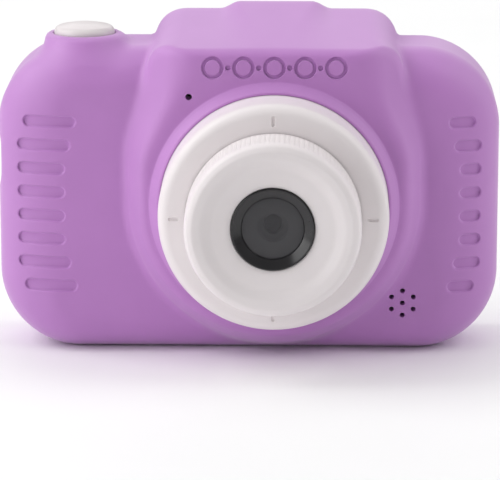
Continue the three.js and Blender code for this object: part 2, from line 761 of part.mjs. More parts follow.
// A foam pad sticks the cell to the board's face
const PAD_FRONT = BOARD_Y - GAP - 1;
const CELL_BACK = PAD_FRONT - GAP;
const CELL_T = 5.6;
const CELL_MID_Y = CELL_BACK - CELL_T / 2;
addPiece("battery", box(-35.2, -7.5, CELL_BACK - CELL_T, CELL_BACK, 7, 41), material.pouch);
addPiece("battery_pad", box(-33, -10, PAD_FRONT, BOARD_Y - GAP, 10, 38), material.foam);

// A round lead along a smooth path
function lead(points, r) {
  const path = new THREE.CatmullRomCurve3(points.map((p) => new THREE.Vector3(...p)));
  const section = new THREE.Shape();
  section.absarc(0, 0, r, 0, 2 * Math.PI);
  const g = new THREE.ExtrudeGeometry(section, { steps: 12, extrudePath: path, curveSegments: 4 });
  return solid(g);
}
addPiece(
  "battery_lead",
  lead([[-7.1, CELL_MID_Y, 12], [-4.5, CELL_MID_Y, 12.5], [-2.5, 13.2, 14], [-2, 15, 15]], 0.7),
  material.cable,
);
addPiece(
  "speaker_gasket",
  cut(box(24.2, 35.1, 6.3, 7.3, 6.4, 20), box(25.6, 33.7, 5, 9, 7.4, 18.6)),
  material.foam,
);
addPiece("speaker", box(24.2, 35.1, 7.6, 11.4, 6.4, 20), material.blackMatte);
addPiece(
  "speaker_lead",
  lead([[23.8, 9.5, 17], [21.5, 9.5, 17.5], [19.5, 12, 19], [19, 15, 20]], 0.6),
  material.cable,
);
const MIC_Y = PLATEAU_Y + INSIDE + GAP;
addPiece(
  "microphone_boot",
  cut(
    rod("y", 3, MIC_Y, MIC_Y + 3, ...MIC, 20),
    rod("y", 2 + GAP, MIC_Y + 0.8, MIC_Y + 4, ...MIC, 20),
    rod("y", MIC_HOLE_R, MIC_Y - 1, MIC_Y + 2, ...MIC, 10),
  ),
  material.blackMatte,
);
addPiece("microphone", rod("y", 2, MIC_Y + 1.1, MIC_Y + 2.8, ...MIC, 16), material.steel);

// ---- Ports and indicator ------------------------------------------------
addPiece(
  "usb_port",
  cut(
    box(PORT_X - 7.6, PORT_X - 0.3, PORT_Y - 3.2, PORT_Y, USB_Z - 4.5, USB_Z + 4.5),
    box(PORT_X - 6.6, FAR, PORT_Y - 2.8, PORT_Y - 0.4, USB_Z - 4.1, USB_Z + 4.1),
  ),
  material.steel,
);
addPiece(
  "card_socket",
  cut(
    box(PORT_X - 14.5, PORT_X - 0.5, PORT_Y - 1.9, PORT_Y, CARD_Z - 6, CARD_Z + 6),
    box(PORT_X - 13, FAR, PORT_Y - 1.5, PORT_Y - 0.4, CARD_Z - 5.6, CARD_Z + 5.6),
  ),
  material.steel,
);
addPiece(
  "status_led",
  box(PAD_X - 1, PAD_X + 1, BOARD_BACK + GAP, BOARD_BACK + 1.1, LED_Z - 0.6, LED_Z + 0.6),
  material.white,
);
addPiece("light_pipe", rod("y", 1, BOARD_BACK + 1.4, PLATE_Y, PAD_X, LED_Z, 12), material.glass);

export default camera;
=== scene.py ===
"""A kids digital camera: a hard white camera in a soft purple silicone sleeve.

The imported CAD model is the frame. Shapes here are worked out in millimetres, in the
same axes as the frame (+X right seen from the front, the front faces -Y, +Z up), and
become metres when a mesh is made.
"""

import json
import math

import bmesh
import bpy
import numpy as np
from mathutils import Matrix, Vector


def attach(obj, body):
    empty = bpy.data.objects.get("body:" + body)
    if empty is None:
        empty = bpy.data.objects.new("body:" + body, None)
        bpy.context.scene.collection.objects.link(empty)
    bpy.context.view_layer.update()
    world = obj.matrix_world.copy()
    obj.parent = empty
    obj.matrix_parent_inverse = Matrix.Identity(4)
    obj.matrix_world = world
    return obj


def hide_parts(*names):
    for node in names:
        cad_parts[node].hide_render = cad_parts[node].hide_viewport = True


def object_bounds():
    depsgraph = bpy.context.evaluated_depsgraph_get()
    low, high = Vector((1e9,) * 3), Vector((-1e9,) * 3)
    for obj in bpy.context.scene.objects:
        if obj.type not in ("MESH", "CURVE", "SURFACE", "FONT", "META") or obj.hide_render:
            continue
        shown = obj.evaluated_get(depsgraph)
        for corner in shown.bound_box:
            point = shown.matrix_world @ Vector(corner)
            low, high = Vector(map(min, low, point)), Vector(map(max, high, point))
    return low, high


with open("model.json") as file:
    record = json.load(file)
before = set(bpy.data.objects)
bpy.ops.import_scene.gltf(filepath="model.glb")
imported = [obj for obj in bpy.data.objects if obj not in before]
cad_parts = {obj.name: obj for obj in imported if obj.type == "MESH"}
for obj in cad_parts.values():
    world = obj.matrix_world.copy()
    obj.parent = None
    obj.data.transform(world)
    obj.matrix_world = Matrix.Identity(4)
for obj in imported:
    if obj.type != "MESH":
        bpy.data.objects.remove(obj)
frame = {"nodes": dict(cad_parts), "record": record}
cad_low, cad_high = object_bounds()
NODES = frame["nodes"]
MM = 0.001
SHARP_EDGE = math.radians(32)  # edges that turn by more are shaded sharp

# ---- Driving dimensions, in millimetres --------------------------------------
GAP = 0.3
WIDTH = (cad_high.x - cad_low.x) / MM
HEIGHT = 58.7  # of the body, without the hump
BODY_DEPTH = 24
BACK_Y = cad_high.y / MM
FRONT_Y = BACK_Y - BODY_DEPTH
RIM_Y = cad_low.y / MM
MID_Z = HEIGHT / 2
CORNER = 15.3  # radius of the outline's corners
SIDE_RUN = 13.0  # how far the front's soft edge runs in from the sides
TOP_RUN = 8.6
FOOT_RUN = 7.0
EDGE_DEPTH = 8.0  # how deep that edge is at the sides
FOOT_DEPTH = 7.0
REAR_FILLET = 4.5
SLEEVE_WALL = 2.3

LENS_X = 5.1
LENS_Z = 30.2
BLOCK_RADIUS = 28.6  # the soft block round the lens
BLOCK_RISE = 4.6  # how far it stands off the body's front
BLOCK_TAPER = 0.31  # how fast it narrows upwards to the hump
PLATEAU_Y = FRONT_Y - BLOCK_RISE
HUMP_Z = 63.8
HUMP_SLOPE = 0.168
HUMP_LEVEL_Y = 21.2  # behind this the hump's top is level
TIER_RISE = 1.4  # a pad on the hump's top, which fades out towards the front
TIER_FOOT = 10.8
TIER_SLOPE = 3.8
BEAD_INNER = 21.9
BEAD_OUTER = 23.6
BEAD_Y = FRONT_Y - 6.7

BEZEL_R = 21.6
TICK_Y = FRONT_Y - 16.6
RING_R = 16.4
RING_RIM_R = 14.9
RING_WALL = 1.8  # the ring is hollow behind
RIBS = 112  # fine ribs round the ring's side
HOOD_R = 7.7
HOOD_Y = RIM_Y + 1.4
COVER_R = 5.8

SHUTTER_X = -31.6
SHUTTER_Y = FRONT_Y + 12
SHUTTER_R = 5.8
SHUTTER_TOP = 62.3
SHUTTER_GUIDE_Z = 52.7  # the cap's flange stops under the guide here
COLLAR_R = 7.5
COLLAR_Z = 60.5

PLATE_Y = BACK_Y - 1.2
PLATE_W = 73
PLATE_H = 41
PLATE_CORNER = 5
FLANGE_Y = BACK_Y - SLEEVE_WALL - GAP
PARTING_Y = 19.6
SCREEN_X = 10
WINDOW_W = 44
WINDOW_H = 36
PICTURE_W = 38.4
PICTURE_H = 28.8
PAD_X = -24.6
PAD_Z = 24
PAD_STEP = 6.7
LED_Z = 46.2
SPEAKER = (29.65, 10.1)
SPEAKER_PITCH = 2.4
MIC = (-11, 51)
USB_Z = 37.5
CARD_Z = 20.5
EYELET_Z = 37
EYELET_Y = 10.5


# ---- Camera ------------------------------------------------------------------
CAMERA_AZIMUTH = math.radians(1.2)
CAMERA_ELEVATION = math.radians(12.5)
CAMERA_DISTANCE = 0.65
FOCAL_LENGTH = 241.2


def add_camera():
    azimuth, elevation = CAMERA_AZIMUTH, CAMERA_ELEVATION
    middle = Vector((0, 13.2, 30)) * MM
    aim = Vector((0.435, 1.2, 22.39)) * MM
    back = Vector(
        (
            math.sin(azimuth) * math.cos(elevation),
            -math.cos(azimuth) * math.cos(elevation),
            math.sin(elevation),
        )
    )
    data = bpy.data.cameras.new("camera")
    data.lens = FOCAL_LENGTH
    data.sensor_width = 36
    data.clip_start = 0.05
    data.clip_end = 20
    camera = bpy.data.objects.new("camera", data)
    camera.location = middle + back * CAMERA_DISTANCE
    camera.rotation_euler = (camera.location - aim).to_track_quat("Z", "Y").to_euler()
    bpy.context.scene.collection.objects.link(camera)
    bpy.context.scene.camera = camera


# ---- Soft combinations and the mesh of a level surface --------------------------
def soft_max(a, b, reach):
    near = np.maximum(reach - np.abs(a - b), 0) / reach
    return np.maximum(a, b) + near * near * reach / 4


def soft_min(a, b, reach):
    return -soft_max(-a, -b, reach)


def smooth_step(t):
    t = np.clip(t, 0, 1)
    return t * t * (3 - 2 * t)


def soft_ramp(t, knee):
    """0 below -knee, t above knee, and a parabola between them."""
    bent = (np.clip(t, -knee, knee) + knee) ** 2 / (4 * knee)
    return np.where(t > knee, t, bent)


def eased_edge(d, e, run, depth):
    """Two faces, at distances d and e, meeting in a quarter ellipse run by depth."""
    u = d / run + 1
    v = e / depth + 1
    radius = np.hypot(u, v)
    slope = np.maximum(np.hypot(u / run, v / depth), 1e-9)
    curved = (radius - 1) * radius / slope
    return np.where((u > 0) & (v > 0), curved, np.maximum(d, e))


def gradient(form, p, h=0.02):
    rows = []
    for axis in range(3):
        step = np.zeros(3)
        step[axis] = h
        rows.append((form(*(p + step).T) - form(*(p - step).T)) / (2 * h))
    return np.stack(rows, 1)


def settle(form, p, rounds=4):
    """Moves points onto the form's surface."""
    for _ in range(rounds):
        g = gradient(form, p)
        move = form(*p.T) / np.maximum((g * g).sum(1), 1e-6)
        p = p - np.clip(move, -0.6, 0.6)[:, None] * g
    return p


def level_surface(form, low, high, step):
    """Vertices and quads of the surface form(x, y, z) = 0, by surface nets."""
    counts = [int(math.ceil((b - a) / step)) + 1 for a, b in zip(low, high)]
    axes = [a + step * np.arange(n) for a, n in zip(low, counts)]
    x, y, z = np.meshgrid(*axes, indexing="ij")
    value = form(x, y, z)
    inside = value < 0
    if inside[[0, -1]].any() or inside[:, [0, -1]].any() or inside[:, :, [0, -1]].any():
        raise ValueError("the surface runs out of its grid")
    cells = tuple(n - 1 for n in counts)
    corners = [(i, j, k) for i in (0, 1) for j in (0, 1) for k in (0, 1)]

    def at(array, corner):
        return array[tuple(slice(c, c + n) for c, n in zip(corner, cells))]

    filled = sum(at(inside, c).astype(np.int8) for c in corners)
    mixed = (filled > 0) & (filled < 8)
    number = np.full(cells, -1)
    number[mixed] = np.arange(mixed.sum())
    total = np.zeros((mixed.sum(), 3))
    crossings = np.zeros(mixed.sum())
    for a in corners:
        for axis in range(3):
            if a[axis]:
                continue
            b = tuple(c + (n == axis) for n, c in enumerate(a))
            va, vb = at(value, a)[mixed], at(value, b)[mixed]
            hit = (va < 0) != (vb < 0)
            share = np.where(hit, va / np.where(hit, va - vb, 1), 0)
            point = np.array(a) + share[:, None] * (np.arange(3) == axis)
            total += np.where(hit[:, None], point, 0)
            crossings += hit
    cell = np.argwhere(mixed)
    points = np.array(low) + step * (cell + total / crossings[:, None])
    quads = []
    for axis in range(3):
        u, v = (axis + 1) % 3, (axis + 2) % 3
        first = tuple(slice(0, -1) if n == axis else slice(1, -1) for n in range(3))
        second = tuple(slice(1, None) if n == axis else slice(1, -1) for n in range(3))
        out = ~inside[first] & inside[second]
        into = inside[first] & ~inside[second]
        for flag, turned in ((out, True), (into, False)):
            edge = np.argwhere(flag) + 1
            edge[:, axis] -= 1
            ring = []
            for du, dv in ((1, 1), (0, 1), (0, 0), (1, 0)):
                at_cell = edge.copy()
                at_cell[:, u] -= du
                at_cell[:, v] -= dv
                ring.append(number[tuple(at_cell.T)])
            quad = np.stack(ring, 1)
            quads.append(quad[:, ::-1] if turned else quad)
    return settle(form, points), np.concatenate(quads)


# ---- Meshes ------------------------------------------------------------------
def mesh_object(name, points, faces):
    """A new object from points in millimetres, shaded smooth except at sharp edges."""
    if not np.isfinite(np.asarray(points, float)).all():
        raise ValueError("a point of " + name + " is not a number")
    mesh = bpy.data.meshes.new(name)
    mesh.from_pydata((np.asarray(points, float) * MM).tolist(), [], faces)
    mesh.update()
    mesh.shade_smooth()
    mesh.set_sharp_from_angle(angle=SHARP_EDGE)
    made = bpy.data.objects.new(name, mesh)
    bpy.context.scene.collection.objects.link(made)
    return made


def signed_volume(points, faces):
    total = 0.0
    for face in faces:
        a = points[face[0]]
        for n in range(1, len(face) - 1):
            total += np.dot(a, np.cross(points[face[n]], points[face[n + 1]]))
    return total / 6


def loft_faces(rings, closed):
    """Points and faces of a skin through rings. A ring of one point is a pole, and an open
    end is closed by faces across it, from each point to the one opposite."""
    points = np.concatenate(rings)
    starts = np.cumsum([0] + [len(r) for r in rings])
    faces = []
    pairs = list(zip(range(len(rings) - 1), range(1, len(rings))))
    if closed:
        pairs.append((len(rings) - 1, 0))
    for a, b in pairs:
        na, nb = len(rings[a]), len(rings[b])
        for n in range(max(na, nb)):
            m = (n + 1) % max(na, nb)
            if na == 1:
                faces.append([starts[a], starts[b] + m, starts[b] + n])
            elif nb == 1:
                faces.append([starts[a] + n, starts[a] + m, starts[b]])
            else:
                faces.append([starts[a] + n, starts[a] + m, starts[b] + m, starts[b] + n])
    if not closed:
        for end, turned in ((0, True), (len(rings) - 1, False)):
            count = len(rings[end])
            if count > 1:
                cap = []
                for n in range(count // 2):
                    ids = [n, n + 1, count - n - 1, (count - n) % count]
                    cap.append(list(dict.fromkeys(starts[end] + i for i in ids)))
                faces += [f[::-1] if turned else f for f in cap if len(f) > 2]
    faces = [[int(i) for i in f] for f in faces]
    if signed_volume(points, faces) < 0:
        faces = [f[::-1] for f in faces]
    return points, faces


def loft(name, rings, closed=False):
    return mesh_object(name, *loft_faces(rings, closed))


def rounded_path(corners, steps=6, closed=False):
    """Points along [a, b, round] corners, each corner turned into an arc of that radius."""
    count = len(corners)
    points = []
    for n, corner in enumerate(corners):
        here = np.array(corner[:2], float)
        radius = corner[2] if len(corner) > 2 else 0
        if not radius or (not closed and n in (0, count - 1)):
            points.append(here)
            continue
        back = np.array(corners[n - 1][:2], float) - here
        ahead = np.array(corners[(n + 1) % count][:2], float) - here
        back /= np.linalg.norm(back)
        ahead /= np.linalg.norm(ahead)
        if abs(back[0] * ahead[1] - back[1] * ahead[0]) < 1e-3:
            points.append(here)
            continue
        half = math.acos(float(np.clip(back @ ahead, -1, 1))) / 2
        middle = here + (back + ahead) / np.linalg.norm(back + ahead) * radius / math.sin(half)
        start = here + back * radius / math.tan(half) - middle
        end = here + ahead * radius / math.tan(half) - middle
        sweep = math.pi - 2 * half
        for s in range(steps + 1):
            t = s / steps
            weights = math.sin((1 - t) * sweep), math.sin(t * sweep)
            points.append(middle + (weights[0] * start + weights[1] * end) / math.sin(sweep))
    return points


def turned(name, corners, x=LENS_X, z=LENS_Z, segments=128, steps=6, closed=True, ribs=None):
    """A lathe about a Y axis from [radius, y, round] corners. ribs(angles, radius, y) gives
    how far the surface goes in at each angle."""
    angles = np.linspace(0, 2 * np.pi, segments, endpoint=False)
    rings = []
    for r, y in rounded_path(corners, steps, closed):
        if r < 1e-6:
            rings.append(np.array([[x, y, z]]))
            continue
        radius = r - (ribs(angles, r, y) if ribs else 0)
        ring = [x + radius * np.cos(angles), np.full(segments, y), z + radius * np.sin(angles)]
        rings.append(np.stack(ring, 1))
    return loft(name, rings, closed)


def turned_up(name, corners, x, y, segments=96, steps=6, closed=True):
    """The same about a vertical axis, from [radius, z, round] corners."""
    made = turned(name, corners, 0, 0, segments, steps, closed)
    co = np.zeros(len(made.data.vertices) * 3)
    made.data.vertices.foreach_get("co", co)
    co = co.reshape(-1, 3)
    swapped = np.stack([co[:, 0] + x * MM, y * MM - co[:, 2], co[:, 1]], 1)
    made.data.vertices.foreach_set("co", swapped.ravel())
    made.data.update()
    return made


def rect_outline(width, height, radius, x=0, z=0, inset=0, steps=8):
    """A rounded rectangle's points in X and Z, from the middle of its left side round."""
    w, h, r = width / 2 - radius, height / 2 - radius, max(radius - inset, 0.01)
    points = [[x - w - r, z]]
    for n, (sx, sz) in enumerate(((-1, 1), (1, 1), (1, -1), (-1, -1))):
        for s in range(steps + 1):
            a = math.pi - (n + s / steps) * math.pi / 2
            points.append([x + sx * w + r * math.cos(a), z + sz * h + r * math.sin(a)])
        if n == 1:
            points.append([x + w + r, z])
    return np.array(points)


def plate(name, outline, y_front, y_back, edge_front=0, edge_back=0, steps=4):
    """An outline(inset) in X and Z between two Y planes, its edges rounded."""
    rings = []
    for s in range(steps + 1):
        a = s / steps * math.pi / 2
        inset = edge_front * (1 - math.sin(a))
        rings.append((inset, y_front + edge_front * (1 - math.cos(a))))
        if not edge_front:
            break
    for s in range(steps + 1):
        a = s / steps * math.pi / 2
        rings.append((edge_back * (1 - math.cos(a)), y_back - edge_back * (1 - math.sin(a))))
        if not edge_back:
            break
    solid = []
    for inset, y in rings:
        flat = outline(inset)
        solid.append(np.stack([flat[:, 0], np.full(len(flat), y), flat[:, 1]], 1))
    return loft(name, solid)


def joined(name, parts):
    """One object from several, whose solids don't overlap."""
    points, faces, start = [], [], 0
    for part in parts:
        mesh = part.data
        co = np.zeros(len(mesh.vertices) * 3)
        mesh.vertices.foreach_get("co", co)
        points.append(co.reshape(-1, 3) / MM)
        faces += [[start + i for i in p.vertices] for p in mesh.polygons]
        start += len(mesh.vertices)
        bpy.data.objects.remove(part)
    return mesh_object(name, np.concatenate(points), faces)


def combine(target, other, operation):
    """target with other joined on (UNION) or cut away (DIFFERENCE); other is used up."""
    step = target.modifiers.new("combine", "BOOLEAN")
    step.operation = operation
    step.solver = "MANIFOLD"
    step.object = other
    evaluated = target.evaluated_get(bpy.context.evaluated_depsgraph_get())
    mesh = bpy.data.meshes.new_from_object(evaluated)
    target.modifiers.clear()
    target.data = mesh
    bpy.data.objects.remove(other)
    return target


def cut(target, *others):
    for other in others:
        combine(target, other, "DIFFERENCE")
    return target


def split_large_faces(target):
    """Turns faces of more than four corners, which a cut can leave, into triangles."""
    made = bmesh.new()
    made.from_mesh(target.data)
    large = [face for face in made.faces if len(face.verts) > 4]
    bmesh.ops.triangulate(made, faces=large)
    made.to_mesh(target.data)
    made.free()


def shade(target):
    split_large_faces(target)
    target.data.shade_smooth()
    target.data.set_sharp_from_angle(angle=SHARP_EDGE)
    return target


# ---- The sleeve's form ----------------------------------------------------------
def body_distance(x, y, z, inset, soft):
    qx = np.abs(x) - (WIDTH / 2 - CORNER)
    qz = np.abs(z - MID_Z) - (HEIGHT / 2 - CORNER)
    outside = np.hypot(np.maximum(qx, 0), np.maximum(qz, 0))
    rim = outside + np.minimum(np.maximum(qx, qz), 0) - CORNER + inset
    if soft:
        sideways = (np.maximum(qx, 0) / np.maximum(outside, 1e-6)) ** 2
        upright = np.where(z > MID_Z, TOP_RUN, FOOT_RUN)
        run = SIDE_RUN * sideways + upright * (1 - sideways)
        depth = EDGE_DEPTH * sideways + np.where(z > MID_Z, TOP_RUN, FOOT_DEPTH) * (1 - sideways)
    else:
        run = depth = FOOT_RUN - inset
    front = eased_edge(rim, FRONT_Y + inset - y, run, depth)
    rear = REAR_FILLET - inset
    return np.maximum(front, eased_edge(rim, y - BACK_Y + inset, rear, rear))


def foot_half(z):
    """The block's half width where it leaves the body's front, above the lens axis."""
    return BLOCK_RADIUS - BLOCK_TAPER * soft_ramp(z - 41.6, 4) + 0.2 * smooth_step((z - 53) / 6)


def block_distance(x, y, z, inset):
    out = np.abs(x - LENS_X)
    up = z - LENS_Z
    narrowing = BLOCK_TAPER * smooth_step((z - 38) / 8)
    foot = np.where(up > 0, out - foot_half(z), np.hypot(out, up) - BLOCK_RADIUS)
    wall = foot / np.hypot(1, narrowing) + inset
    run = 3.4 + 2.9 * smooth_step((z - 35) / 17)
    lean = run / BLOCK_RISE
    flank = (foot + lean * (FRONT_Y - y)) / np.hypot(lean, np.hypot(1, narrowing)) + inset
    ahead = 1 - np.clip((y - PLATEAU_Y) / (HUMP_LEVEL_Y - PLATEAU_Y), 0, 1)
    pad = smooth_step((TIER_FOOT + 3 * ahead - out) / (TIER_SLOPE + 10 * ahead)) * (1 - ahead)
    top_z = HUMP_Z - HUMP_SLOPE * soft_ramp(HUMP_LEVEL_Y - y, 1.5) + TIER_RISE * pad
    top = (z - top_z) / math.hypot(1, HUMP_SLOPE) + inset
    made = soft_max(wall, top, 4.6 - 1.2 * smooth_step((6 - y) / 10))
    made = soft_max(made, flank, 1.4)
    crest = 1.2 + 1.0 * smooth_step((z - 50) / 6)
    made = soft_max(made, PLATEAU_Y - y + inset, crest)
    back_y = FRONT_Y + 9 + (BACK_Y - FRONT_Y - 9) * smooth_step((z - 46) / 5)
    return soft_max(made, y - back_y + inset, 4.0)


def collar_distance(x, y, z):
    dx, dy = x - SHUTTER_X, y - SHUTTER_Y
    out = np.hypot(dx, dy)
    ahead = 0.5 + 0.5 * (0.6 * dx - 0.8 * dy) / np.maximum(out, 1e-6)
    lean = 0.45 * smooth_step(ahead)
    wall = (out - COLLAR_R - lean * np.clip(COLLAR_Z - z, 0, 5)) / np.hypot(1, lean)
    return np.maximum(eased_edge(wall, z - COLLAR_Z, 1.1, 1.1), 50 - z)


def sleeve_form(x, y, z):
    """Less than 0 inside the sleeve's outer shape, and close to the distance near it."""
    reach = 1.2 * np.clip((BACK_Y + 1 - y) / 8, 0.15, 1)
    made = soft_min(body_distance(x, y, z, 0, True), block_distance(x, y, z, 0), reach)
    return soft_min(made, collar_distance(x, y, z), 2.2)


def cavity_form(x, y, z):
    body = body_distance(x, y, z, SLEEVE_WALL, False)
    return soft_min(body, block_distance(x, y, z, SLEEVE_WALL), 0.6)


def front_y(x, z):
    """Where the sleeve's front surface is, for each x and z."""
    near = np.full(len(x), PLATEAU_Y - 3.0)
    far = np.full(len(x), FRONT_Y + 11.0)
    for _ in range(40):
        middle = (near + far) / 2
        inside = sleeve_form(x, middle, z) < 0
        near, far = np.where(inside, near, middle), np.where(inside, middle, far)
    return (near + far) / 2


# ---- Marks cut into the sleeve's front --------------------------------------------
def rim_steps(rim, depth, lean=20, flare=0.5, steps=4):
    """[outward, down] steps of a wall with a rounded rim, from above the surface down."""
    first = math.radians(lean)
    made = []
    for s in range(steps + 1):
        a = first + s / steps * (math.pi / 2 - first)
        made.append((rim * (1 - math.sin(a)), rim * (1 - math.cos(a))))
    start = (made[0][0] + flare / math.tan(first), made[0][1] - flare)
    return [start] + made + [(0, depth)]


def on_surface(flat, down):
    y = front_y(flat[:, 0], flat[:, 1]) + down
    return np.stack([flat[:, 0], y, flat[:, 1]], 1)


def stadium(x0, x1, z, half, out):
    """A round-ended slot's outline from its left end round, grown by out."""
    r = half + out
    a, b = x0 + half, x1 - half
    ends = np.linspace(0, np.pi / 2, 7)
    along = np.linspace(a, b, max(int((b - a) / 0.7), 2) + 1)[1:-1]
    top = [[a - r * math.cos(t), z + r * math.sin(t)] for t in ends]
    top += [[x, z + r] for x in along]
    top += [[b + r * math.cos(t), z + r * math.sin(t)] for t in ends[::-1]]
    bottom = [[x, 2 * z - h] for x, h in top[-2:0:-1]]
    return np.array(top + bottom)


def slot_cutter(x0, x1, z, half, depth, rim):
    walls = [on_surface(stadium(x0, x1, z, half, out), down) for out, down in rim_steps(rim, depth)]
    floor = on_surface(stadium(x0, x1, z, half, -0.25), depth + 0.12)
    return loft("slot", walls + [floor])


def circle(x, z, radius, count):
    a = np.linspace(0, 2 * np.pi, count, endpoint=False)
    return np.stack([x - radius * np.cos(a), z + radius * np.sin(a)], 1)


def ring_cutter(x, z, inner, outer, depth, rim, count=48):
    steps = rim_steps(rim, depth, 35, 0.3)
    section = [(outer + out, down) for out, down in steps]
    section += [(inner - out, down) for out, down in steps[::-1]]
    rings = [on_surface(circle(x, z, max(r, 0.05), count), down) for r, down in section]
    return loft("ring", rings, closed=True)


def dimple_cutter(x, z, radius, depth, rim, count=24):
    walls = [
        on_surface(circle(x, z, radius + out, count), down)
        for out, down in rim_steps(rim, depth, 35, 0.3)
    ]
    return loft("dimple", walls)


def grip_grooves():
    """Eight short grooves down each side, the end ones moved in to follow the corners."""
    rows, pitch, top_z = 8, 4.57, 45.2
    half, depth, rim = 1.0, 0.5, 0.45
    made = []
    for row in range(rows):
        z = top_z - row * pitch
        from_end = min(row, rows - 1 - row)
        taper = max(2 - from_end, 0) * 1.1
        corner = 1.2 if from_end == 0 else 0
        made.append(slot_cutter(-43.9 + corner, -35.0 + taper, z, half, depth, rim))
        made.append(slot_cutter(40.4 - taper, 44.3 - corner, z, half, depth, rim))
    return joined("grooves", made)


def hump_pattern():
    """A debossed row of plain rings with dots between them."""
    z, pitch = 56.6, 5.8
    made = []
    for n in range(-2, 3):
        made.append(ring_cutter(LENS_X + n * pitch, z, 1.45, 2.1, 0.5, 0.16))
        if n < 2:
            made.append(dimple_cutter(LENS_X + (n + 0.5) * pitch, z, 0.5, 0.45, 0.16))
    return joined("pattern", made)


def sound_holes():
    radius, depth, rim = 0.47, 4.0, 0.12
    made = [dimple_cutter(*MIC, 0.62, depth, rim)]
    made.append(dimple_cutter(*SPEAKER, radius, depth, rim))
    for n in range(6):
        a = math.pi / 2 + n * math.pi / 3
        x = SPEAKER[0] + SPEAKER_PITCH * math.cos(a)
        z = SPEAKER[1] + SPEAKER_PITCH * math.sin(a)
        made.append(dimple_cutter(x, z, radius, depth, rim))
    return joined("sound_holes", made)


def side_cutter(x0, x1, y0, y1, z0, z1):
    """A round-ended opening along X, flared a little where it leaves the sleeve."""
    r = min(y1 - y0, z1 - z0) / 2 - 0.05
    rings = []
    outside = x1 if x1 > 0 else x0
    inside = x0 if x1 > 0 else x1
    face = math.copysign(WIDTH / 2, outside)
    away = math.copysign(1, outside)
    for x, grow in ((inside, 0), (face - 0.6 * away, 0), (face - 0.25 * away, 0.1),
                    (face, 0.4), (outside, 1.2)):
        flat = rect_outline(
            y1 - y0 + 2 * grow, z1 - z0 + 2 * grow, r + grow, (y0 + y1) / 2, (z0 + z1) / 2
        )
        rings.append(np.stack([np.full(len(flat), x), flat[:, 0], flat[:, 1]], 1))
    return loft("opening", rings)


def use_form_normals(target, form):
    """Gives the corners that lie on the form its exact normals, so that the triangles left
    by the cuts don't show."""
    mesh = target.data
    count = len(mesh.vertices)
    co = np.zeros(count * 3)
    mesh.vertices.foreach_get("co", co)
    points = co.reshape(-1, 3) / MM
    slope = gradient(form, points)
    slope /= np.maximum(np.linalg.norm(slope, axis=1), 1e-9)[:, None]
    on_form = np.abs(form(*points.T)) < 0.015
    corners = np.zeros(len(mesh.loops) * 3)
    mesh.corner_normals.foreach_get("vector", corners)
    corners = corners.reshape(-1, 3)
    vertex = np.zeros(len(mesh.loops), int)
    mesh.loops.foreach_get("vertex_index", vertex)
    facing = np.zeros(len(mesh.polygons) * 3)
    mesh.polygons.foreach_get("normal", facing)
    sizes = np.zeros(len(mesh.polygons), int)
    mesh.polygons.foreach_get("loop_total", sizes)
    face_normal = np.repeat(facing.reshape(-1, 3), sizes, axis=0)
    close = (face_normal * slope[vertex]).sum(1) > math.cos(math.radians(38))
    use = on_form[vertex] & close
    corners[use] = slope[vertex][use]
    mesh.normals_split_custom_set(corners.tolist())


